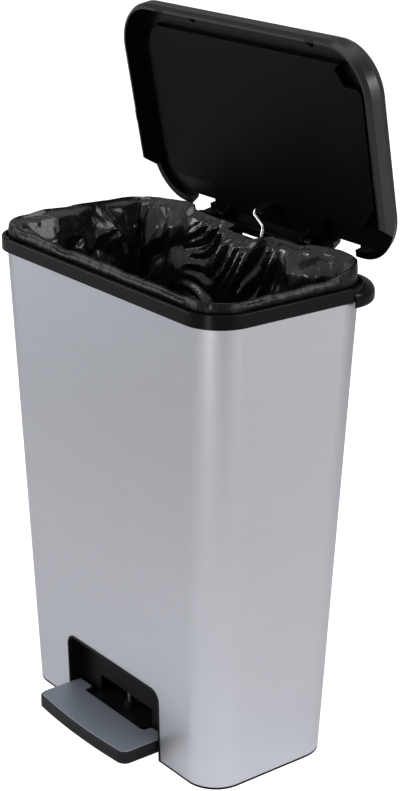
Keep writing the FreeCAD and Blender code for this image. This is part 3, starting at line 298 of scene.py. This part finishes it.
NODE_LOOKS = {
    "outer_shell": SHEET,
    "base_frame": BASE, "pedal_recess": BASE, "inner_floor": BASE,
    "rim_collar": GLOSS, "hinge_housing": GLOSS,
    "hinge_pin_left": DARK_STEEL, "hinge_pin_right": DARK_STEEL,
    "rod_guide_lower": BASE, "rod_guide_upper": BASE,
    "pedal_axle": STEEL, "axle_bracket_left": BASE, "axle_bracket_right": BASE,
    "axle_clips": STEEL, "base_screws": STEEL,
    "lid_cover": LID, "lid_inner_panel": INNER, "lid_hinge_box": INNER,
    "rod_clip": BASE, "hinge_box_screws": DARK_STEEL, "lid_buffers": RUBBER,
    "push_rod": STEEL, "rod_foot_cap": BASE,
    "pedal_body": PEDAL, "pedal_pad": PAD, "pedal_lever": STEEL, "lever_eye": STEEL,
    "liner_bag": FILM,
}
for name, look in NODE_LOOKS.items():
    mesh = nodes[name].data
    mesh.materials.clear()
    mesh.materials.append(look)


# ---------------------------------------------------------------- sizes of the bag

collar_high = corners("rim_collar")[1]
shell_high = corners("outer_shell")[1]
foot_high = corners("base_frame")[1]
floor_low = corners("inner_floor")[0]
rod_high = corners("push_rod")[1]

LIP_TOP = collar_high.z            # top of the collar's inner lip
GROOVE_DEPTH = 0.012               # of the groove outside the lip
GROOVE_FLOOR = LIP_TOP - GROOVE_DEPTH
BAND_ROUND = 0.0485                # corner radius of the collar's outer edge
BODY_ROUND = 0.042                 # corner radius of the steel body
LEAST_ROUND = 0.002                # and of the innermost rings of the bag's bottom
ROD_X = rod_high.x - 0.002         # about the middle of the push rod's wire

CREST_INSET = 0.0112               # the roll over the lip, measured in from the collar's edge
ROLL = 0.0027                      # how far from the roll's middle the film stands beside the lip
PINCH = 0.0019                     # and at the roll's very top, above the lip
HEM_RISE = 0.0028                  # the hem, above the groove's floor
HEM_SHORTEST = 0.008               # the least length of film from the hem to the roll's top
ROD_HEM = 0.014                    # and where the rod draws the hem up, before HEM_RISE is added
HEM_BULGE, HEM_RIPPLE = 0.0016, 0.0007
LEAST_RISE = 0.0026                # the lowest that the roll's top comes to, above the lip
WALL_INSET = 0.0095                # the hanging film, measured in from the steel
BAG_BOTTOM = floor_low.z + 0.0065
FINE_DEPTH = 0.190                 # how far down the rows of points are close together
FINE_STEP = 0.0026
MIDDLE_GAP = 0.004                 # about half the width of the last ring, in the bottom's middle

PLATE_REACH = 0.1105               # half the width of the lid's hinge plate, with room to spare
PLATE_ROOM = 0.0098                # how far the edge may rise under the closed plate
PANEL_ROOM = 0.0078                # and under the closed inner panel
PANEL_GAP = 0.0050                 # how far in the film may stand beside the closed inner panel
OPEN_GAP = 0.1                     # and below the panel, where nothing is near
ROD_GAP = 0.0215                   # how far forward the push rod keeps the film

EDGE_RAGGED = 0.0034               # how far the roll's top wanders up and down
HEM_RAGGED = 0.0022                # and the hem
LARGE_FOLD = 0.036                 # how far each size of facet stands in from the wall
MIDDLE_FOLD = 0.019
SMALL_FOLD = 0.0048
ROLL_PLEAT_WIDTH, ROLL_PLEAT_DEPTH = 0.0135, 0.0022
ROLL_PLEAT_RISE = 0.35             # how much taller a pleat makes the roll, as a share
PLEAT_WIDTH, PLEAT_DEPTH = 0.0145, 0.0085
BROAD_PLEAT = 0.006                # depth of the broader waves that the pleats ride on
DRAPE_WIDTH, DRAPE_DEPTH = 0.052, 0.0075
BOTTOM_RUCK = 0.006                # how high the film rucks up on the floor

COLUMNS = 560
HEM_ROWS, ROLL_ROWS, COARSE_ROWS, BOTTOM_ROWS = 8, 9, 26, 11
RANDOM = np.random.default_rng(11)

# The top of the roll above the lip, as (place, rise) pairs: along x at the rear and the front,
# along y at the sides.
REAR_CREST = [
    (-0.230, 0.0070), (-0.197, 0.0075), (-0.165, 0.0115), (-0.143, 0.0140), (-0.121, 0.0165),
    (-0.108, 0.0150), (-0.100, 0.0098), (-0.022, 0.0078), (0.008, 0.0078), (0.018, 0.0040),
    (0.032, 0.0040), (0.042, 0.0078), (0.066, 0.0080), (0.100, 0.0095), (0.112, 0.0130),
    (0.134, 0.0160), (0.174, 0.0180), (0.190, 0.0180), (0.205, 0.0178), (0.230, 0.0150),
]
LEFT_CREST = [
    (-0.120, 0.0060), (-0.085, 0.0090), (-0.050, 0.0105), (0.000, 0.0100),
    (0.050, 0.0080), (0.085, 0.0078), (0.120, 0.0085),
]
RIGHT_CREST = [
    (-0.120, 0.0035), (-0.085, 0.0030), (-0.050, 0.0028), (0.000, 0.0032),
    (0.050, 0.0060), (0.085, 0.0110), (0.120, 0.0150),
]
FRONT_CREST = [
    (-0.220, 0.0060), (-0.168, 0.0068), (-0.110, 0.0062), (-0.079, 0.0032), (-0.045, 0.0042),
    (0.011, 0.0058), (0.062, 0.0034), (0.163, 0.0028), (0.220, 0.0035),
]


# ---------------------------------------------------------------- curves and rings

def smooth(low, high, value):
    """0 below low, 1 above high, an even curve between."""
    part = np.clip((np.asarray(value, float) - low) / (high - low), 0, 1)
    return part * part * (3 - 2 * part)


def bump_between(value, start, end, soft):
    """1 between start and end, with soft shoulders outside them."""
    return smooth(start - soft, start, value) * (1 - smooth(end, end + soft, value))


def wave(value):
    """A triangle wave from 0 to 1 with sharp ridges, one for each whole number."""
    return 1 - np.abs(2 * (value - np.floor(value)) - 1)


def profile(points, place):
    """The second number of the pairs at each place, straight between them."""
    return np.interp(place, *zip(*points))


def round_mouth(count):
    """Columns around a rounded rectangle: corner signs or fractions, normals and distance."""
    half_x = collar_high.x - CREST_INSET
    half_y = collar_high.y - CREST_INSET
    corner = BAND_ROUND - CREST_INSET
    straight_x = 2 * (half_x - corner)
    straight_y = 2 * (half_y - corner)
    arc = corner * math.pi / 2
    lengths = [straight_x, arc, straight_y, arc, straight_x, arc, straight_y, arc]
    starts = np.concatenate([[0], np.cumsum(lengths)])
    along = np.linspace(0, starts[-1], count, endpoint=False)
    spots = [(-1, -1), (1, -1), (1, 1), (-1, 1), (-1, -1)]
    rows = []
    for distance in along:
        piece = int(np.searchsorted(starts, distance, side="right")) - 1
        part = (distance - starts[piece]) / lengths[piece]
        side, in_corner = divmod(piece, 2)
        angle = -math.pi / 2 + math.pi / 2 * (side + (part if in_corner else 0))
        here, there = spots[side], spots[side + 1]
        share = 1.0 if in_corner else part
        x = here[0] + (there[0] - here[0]) * share
        y = here[1] + (there[1] - here[1]) * share
        rows.append((x, y, math.cos(angle), math.sin(angle), distance))
    return np.array(rows).T, starts[-1]


(SIGN_X, SIGN_Y, NORMAL_X, NORMAL_Y, ALONG), MOUTH_ROUND = round_mouth(COLUMNS)


def ring(half_x, half_y, corner):
    """The columns' x and y on a rounded rectangle."""
    x = SIGN_X * (half_x - corner) + corner * NORMAL_X
    y = SIGN_Y * (half_y - corner) + corner * NORMAL_Y
    return x, y


def collar_ring(inset):
    return ring(collar_high.x - inset, collar_high.y - inset, BAND_ROUND - inset)


def body_ring(height, inset):
    """A ring inside the tapered steel body, at a height."""
    share = height / shell_high.z
    half_x = foot_high.x + (shell_high.x - foot_high.x) * share - inset
    half_y = foot_high.y + (shell_high.y - foot_high.y) * share - inset
    return ring(half_x, half_y, np.maximum(BODY_ROUND - inset, LEAST_ROUND))


def facets(step_along, step_down, deep):
    """A field of flat facets with sharp creases between them, as a function of two distances."""
    stray = 0.38                   # how far a corner strays from its place, in steps
    above = 2                      # rows of facets above the bag's edge, and columns past the ends
    across = max(3, round(MOUTH_ROUND / step_along))
    wide = MOUTH_ROUND / across
    down = int(deep / step_down) + 2 * above
    heights = RANDOM.random((down, across))
    shift_x = RANDOM.uniform(-stray, stray, (down, across)) * wide
    shift_y = RANDOM.uniform(-stray, stray, (down, across)) * step_down
    flips = RANDOM.random((down, across)) < 0.5
    points, faces = [], []
    reach = range(-above, across + above + 1)
    for row in range(down):
        for column in reach:
            home = column % across
            x = column * wide + shift_x[row, home]
            y = (row - above) * step_down + shift_y[row, home]
            points.append((x, y, heights[row, home]))
    count = len(reach)
    for row in range(down - 1):
        for index in range(count - 1):
            a = row * count + index
            b, c, d = a + 1, a + count + 1, a + count
            if flips[row, (index - above) % across]:
                faces += [(a, b, c), (a, c, d)]
            else:
                faces += [(a, b, d), (b, c, d)]
    tree = BVHTree.FromPolygons(points, faces)

    def heights_at(along, below):
        """The height, 0 to 1, at each distance along the edge and one distance below it."""
        hits = [tree.ray_cast(Vector((place, below, 5.0)), Vector((0, 0, -1)))[0] for place in along]
        return np.array([hit.z if hit else 0.5 for hit in hits])
    return heights_at


LARGE_FACETS = facets(0.085, 0.085, 0.60)
MIDDLE_FACETS = facets(0.034, 0.040, 0.60)
SMALL_FACETS = facets(0.013, 0.016, 0.60)
EDGE_FACETS = facets(0.024, 0.020, 0.08)


# ---------------------------------------------------------------- the bag

def gather_strength(x, y):
    """Where the film is gathered in pleats: the middle of the rear side."""
    return bump_between(x, -0.075, 0.050, 0.035) * smooth(0.06, 0.09, y)


def rod_pull(x, y):
    """Where the film is held forward of the push rod."""
    return bump_between(x, ROD_X - 0.034, ROD_X + 0.012, 0.016) * smooth(0.06, 0.09, y)


def crest_heights():
    """The height of the roll's top all round, kept clear of the closed lid."""
    x, y = collar_ring(CREST_INSET)
    front = smooth(0.100, 0.112, -y)
    rear = smooth(0.085, 0.105, y)
    rise = np.where(x < 0, profile(LEFT_CREST, y), profile(RIGHT_CREST, y))
    rise = rise * (1 - front) + profile(FRONT_CREST, x) * front
    rise = rise * (1 - rear) + profile(REAR_CREST, x) * rear
    rise = rise + EDGE_RAGGED * (EDGE_FACETS(ALONG, 0.0) - 0.5)
    under_plate = (np.abs(x) < PLATE_REACH) & (y > 0)
    rise = np.where(under_plate, np.minimum(rise, PLATE_ROOM), rise)
    rise = np.where(rod_pull(x, y) > 0.01, np.minimum(rise, PANEL_ROOM), rise)
    return LIP_TOP + np.maximum(rise, LEAST_RISE)


def relief(x, y, below, gather):
    """How far the hanging film stands in from the wall at one depth, all round."""
    left = smooth(0.02, 0.16, -x)
    rear = smooth(-0.02, 0.08, y)
    slant = (ALONG - (0.30 + 0.5 * left) * below) % MOUTH_ROUND
    large = LARGE_FACETS(slant, below)
    middle = MIDDLE_FACETS(slant, below)
    small = SMALL_FACETS(ALONG, below)
    folds = LARGE_FOLD * large * smooth(0.0, 0.030, below)
    folds = folds + (MIDDLE_FOLD * middle + SMALL_FOLD * small) * smooth(0.0, 0.006, below)
    drapes = wave(ALONG / DRAPE_WIDTH + 0.8 * large + 4.0 * below) * DRAPE_DEPTH
    folds = folds + drapes * left * smooth(0.004, 0.05, below)
    loose = 0.35 + 0.65 * np.maximum(left, 0.55 * rear)
    free = folds * loose * (1 - 0.55 * smooth(0.15, 0.45, below)) * (1 - 0.75 * gather)

    fan = 0.37 + 0.9 * smooth(0.03, 0.12, -x)
    phase = (x + fan * below) / PLEAT_WIDTH + 0.9 * middle
    pleats = wave(phase) * PLEAT_DEPTH + wave(phase * 0.41 + 0.3) * BROAD_PLEAT
    fade = smooth(0.0, 0.012, below) * (1 - 0.5 * smooth(0.2, 0.45, below))
    return free + pleats * gather * fade


def bag_rows():
    """The bag's rings of points, from the hem in the groove over the lip and to the bottom."""
    mouth_x, mouth_y = collar_ring(CREST_INSET)
    gather = gather_strength(mouth_x, mouth_y)
    pull = rod_pull(mouth_x, mouth_y)
    forward = ROD_GAP * pull
    edge = EDGE_FACETS(ALONG, 0.03) - 0.5
    crest = crest_heights()
    centre = crest - PINCH
    rows = []

    def add_row(x, y, z, inward):
        rows.append(np.stack([x - NORMAL_X * inward, y - NORMAL_Y * inward, z], axis=1))

    # Outside the lip, from the hem up to the roll. The film lies flat in the corners.
    lifted = (crest - GROOVE_FLOOR - ROD_HEM) * pull
    hem = np.minimum(GROOVE_FLOOR + HEM_RISE + HEM_RAGGED * edge + lifted, crest - HEM_SHORTEST)
    in_corner = smooth(0.168, 0.178, np.abs(mouth_x)) * (np.abs(mouth_y) > 0.068)
    for share in np.linspace(0, 1, HEM_ROWS + 1)[:-1]:
        below = GROOVE_DEPTH * (1 - share)
        ripple = MIDDLE_FACETS(ALONG, below) + 0.5 * SMALL_FACETS(ALONG, below) - 0.75
        bulge = (HEM_BULGE + HEM_RIPPLE * ripple) * math.sin(math.pi * share)
        x, y = collar_ring(CREST_INSET - ROLL + (ROLL - PINCH) * smooth(0.6, 1.0, share))
        z = hem + (centre - hem) * share
        add_row(x, y, z, forward - np.maximum(bulge, 0) * (1 - in_corner))

    # Over the lip in half a turn. The pleats stand up a little.
    pleat = (wave(mouth_x / ROLL_PLEAT_WIDTH + 1.3 * edge) - 0.5) * gather
    for turn in np.linspace(0, math.pi, ROLL_ROWS + 1)[:-1]:
        z = centre + PINCH * math.sin(turn) * (1 + ROLL_PLEAT_RISE * pleat)
        inward = ROLL_PLEAT_DEPTH * np.maximum(pleat, 0) - PINCH * math.cos(turn)
        add_row(mouth_x, mouth_y, z, forward + inward)

    # Down the inside, in close rows where the folds show and wider ones further down.
    total = centre.mean() - BAG_BOTTOM
    fine = np.arange(0, FINE_DEPTH, FINE_STEP)
    coarse = np.linspace(FINE_DEPTH + 0.002, total, COARSE_ROWS)
    for below in np.concatenate([fine, coarse])[1:]:
        z = centre + (BAG_BOTTOM - centre) * (below / total)
        lip_x, lip_y = collar_ring(CREST_INSET + PINCH + (ROLL - PINCH) * smooth(0, 0.003, below))
        wall_x, wall_y = body_ring(z, WALL_INSET)
        blend = smooth(0.004, 0.055, below)
        x = lip_x + (wall_x - lip_x) * blend
        y = lip_y + (wall_y - lip_y) * blend
        inward = forward * (1 + 0.25 * blend) + relief(x, y, below, gather)
        beside_panel = smooth(PANEL_ROOM - 0.004, PANEL_ROOM, z - LIP_TOP)
        room = PANEL_GAP * beside_panel + OPEN_GAP * (1 - beside_panel)
        add_row(x, y, z, np.minimum(inward, room))

    # Across the floor to the middle, with the folds fading out.
    for share in np.linspace(0, 1, BOTTOM_ROWS + 1)[1:]:
        x, y = body_ring(BAG_BOTTOM, WALL_INSET + share * (foot_high.y - WALL_INSET - MIDDLE_GAP))
        ruck = MIDDLE_FACETS(ALONG, 0.5 + 0.1 * share) * math.sin(math.pi * share)
        inward = (forward + relief(x, y, total, gather)) * (1 - share)
        add_row(x, y, BAG_BOTTOM + BOTTOM_RUCK * ruck, inward)
    return rows


def make_bag():
    """The film bag, replacing its plain stand-in."""
    built = bmesh.new()
    rings = [[built.verts.new(point) for point in row] for row in bag_rows()]
    for upper, lower in zip(rings, rings[1:]):
        for index in range(COLUMNS):
            after = (index + 1) % COLUMNS
            built.faces.new((upper[index], lower[index], lower[after], upper[after]))
    bmesh.ops.contextual_create(built, geom=rings[-1])
    for face in built.faces:
        face.smooth = True
    mesh = bpy.data.meshes.new("film_bag")
    built.to_mesh(mesh)
    built.free()
    mesh.materials.append(FILM)
    bag = bpy.data.objects.new("film_bag", mesh)
    bpy.context.collection.objects.link(bag)
    thick = bag.modifiers.new("film", "SOLIDIFY")
    thick.thickness = 0.0003
    thick.offset = 0
    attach(bag, "can")
    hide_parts("liner_bag")


make_bag()


# ---------------------------------------------------------------- camera, floor and light

CAMERA_AZIMUTH = math.radians(52.409)
CAMERA_ELEVATION = math.radians(20.149)
CAMERA_DISTANCE = 2.25625
CAMERA_ROLL = math.radians(0.3126)
CAMERA_TARGET = Vector((0.04496, 0.0, 0.45322))
CAMERA_LENS = 83.876
CAMERA_SHIFT = (0.0031, -0.00046)
FLOOR_HALF = 30.0
FLOOR_DROP = 0.0005                # the floor, just under the can's feet
FLOOR_COLOR = (0.62, 0.62, 0.63, 1)
FILL = 0.30                        # the world's light on the can; the camera sees it as white
WHITE = (1, 1, 1, 1)


def make_camera():
    back = Vector((
        math.sin(CAMERA_AZIMUTH) * math.cos(CAMERA_ELEVATION),
        -math.cos(CAMERA_AZIMUTH) * math.cos(CAMERA_ELEVATION),
        math.sin(CAMERA_ELEVATION),
    ))
    right = Vector((0, 0, 1)).cross(back).normalized()
    up = back.cross(right)
    turned_right = right * math.cos(CAMERA_ROLL) + up * math.sin(CAMERA_ROLL)
    turned_up = up * math.cos(CAMERA_ROLL) - right * math.sin(CAMERA_ROLL)
    data = bpy.data.cameras.new("camera")
    data.lens = CAMERA_LENS
    data.sensor_width = 36.0
    data.sensor_fit = "AUTO"
    data.shift_x, data.shift_y = CAMERA_SHIFT
    data.clip_end = 2 * FLOOR_HALF
    camera = bpy.data.objects.new("camera", data)
    bpy.context.collection.objects.link(camera)
    matrix = Matrix((turned_right, turned_up, back)).transposed().to_4x4()
    matrix.translation = CAMERA_TARGET + back * CAMERA_DISTANCE
    camera.matrix_world = matrix
    bpy.context.scene.camera = camera


def make_floor():
    """A plain pale floor that looks white from the camera and only lightly lights the can."""
    mesh = bpy.data.meshes.new("floor")
    built = bmesh.new()
    bmesh.ops.create_grid(built, x_segments=8, y_segments=8, size=FLOOR_HALF)
    built.to_mesh(mesh)
    built.free()
    floor = bpy.data.objects.new("floor", mesh)
    bpy.context.collection.objects.link(floor)
    floor.location.z = -FLOOR_DROP
    material = bpy.data.materials.new("pale_floor")
    material.use_nodes = True
    material.node_tree.nodes.clear()
    matte = add_node(material, "ShaderNodeBsdfDiffuse")
    matte.inputs["Color"].default_value = FLOOR_COLOR
    glow = add_node(material, "ShaderNodeEmission")
    glow.inputs["Color"].default_value = WHITE
    glow.inputs["Strength"].default_value = 1.0
    both = add_node(material, "ShaderNodeAddShader")
    link(material, matte.outputs[0], both.inputs[0])
    link(material, glow.outputs[0], both.inputs[1])
    path = add_node(material, "ShaderNodeLightPath")
    seen = add_node(material, "ShaderNodeMixShader")
    link(material, path.outputs["Is Camera Ray"], seen.inputs["Fac"])
    link(material, matte.outputs[0], seen.inputs[1])
    link(material, both.outputs[0], seen.inputs[2])
    output = add_node(material, "ShaderNodeOutputMaterial")
    link(material, seen.outputs[0], output.inputs["Surface"])
    mesh.materials.append(material)


def make_world():
    """White behind the can, a dim even fill on it."""
    world = bpy.data.worlds.new("studio")
    bpy.context.scene.world = world
    world.use_nodes = True
    background = world.node_tree.nodes["Background"]
    background.inputs["Color"].default_value = WHITE
    path = add_node(world, "ShaderNodeLightPath")
    strength = spread(world, path.outputs["Is Camera Ray"], FILL, 1.0)
    link(world, strength, background.inputs["Strength"])


def softbox(name, place, target, width, height, power, color=(1, 1, 1)):
    """A rectangular light at a place, aimed at a target."""
    data = bpy.data.lights.new(name, "AREA")
    data.shape = "RECTANGLE"
    data.size = width
    data.size_y = height
    data.energy = power
    data.color = color
    light = bpy.data.objects.new(name, data)
    bpy.context.collection.objects.link(light)
    light.location = place
    aim = Vector(target) - Vector(place)
    light.rotation_euler = aim.to_track_quat("-Z", "Y").to_euler()


make_camera()
make_floor()
make_world()
softbox("overhead", (0.2, -0.1, 3.0), (0, 0, 0.4), width=2.6, height=2.2, power=36)
softbox("rear_right", (2.2, 1.75, 1.75), (0, 0, 0.6), width=0.6, height=0.6, power=16)
softbox("corner", (1.05, -2.2, 0.40), (0.1, 0, 0.35), width=0.45, height=1.0, power=22)
softbox("left_front", (-2.2, -2.4, 0.8), (0, 0, 0.3), width=1.8, height=1.6, power=44,
        color=(0.93, 0.96, 1.0))
softbox("right_side", (3.0, 1.0, 0.8), (0, 0, 0.3), width=1.8, height=1.6, power=48)
bpy.context.scene.view_settings.view_transform = "Standard"
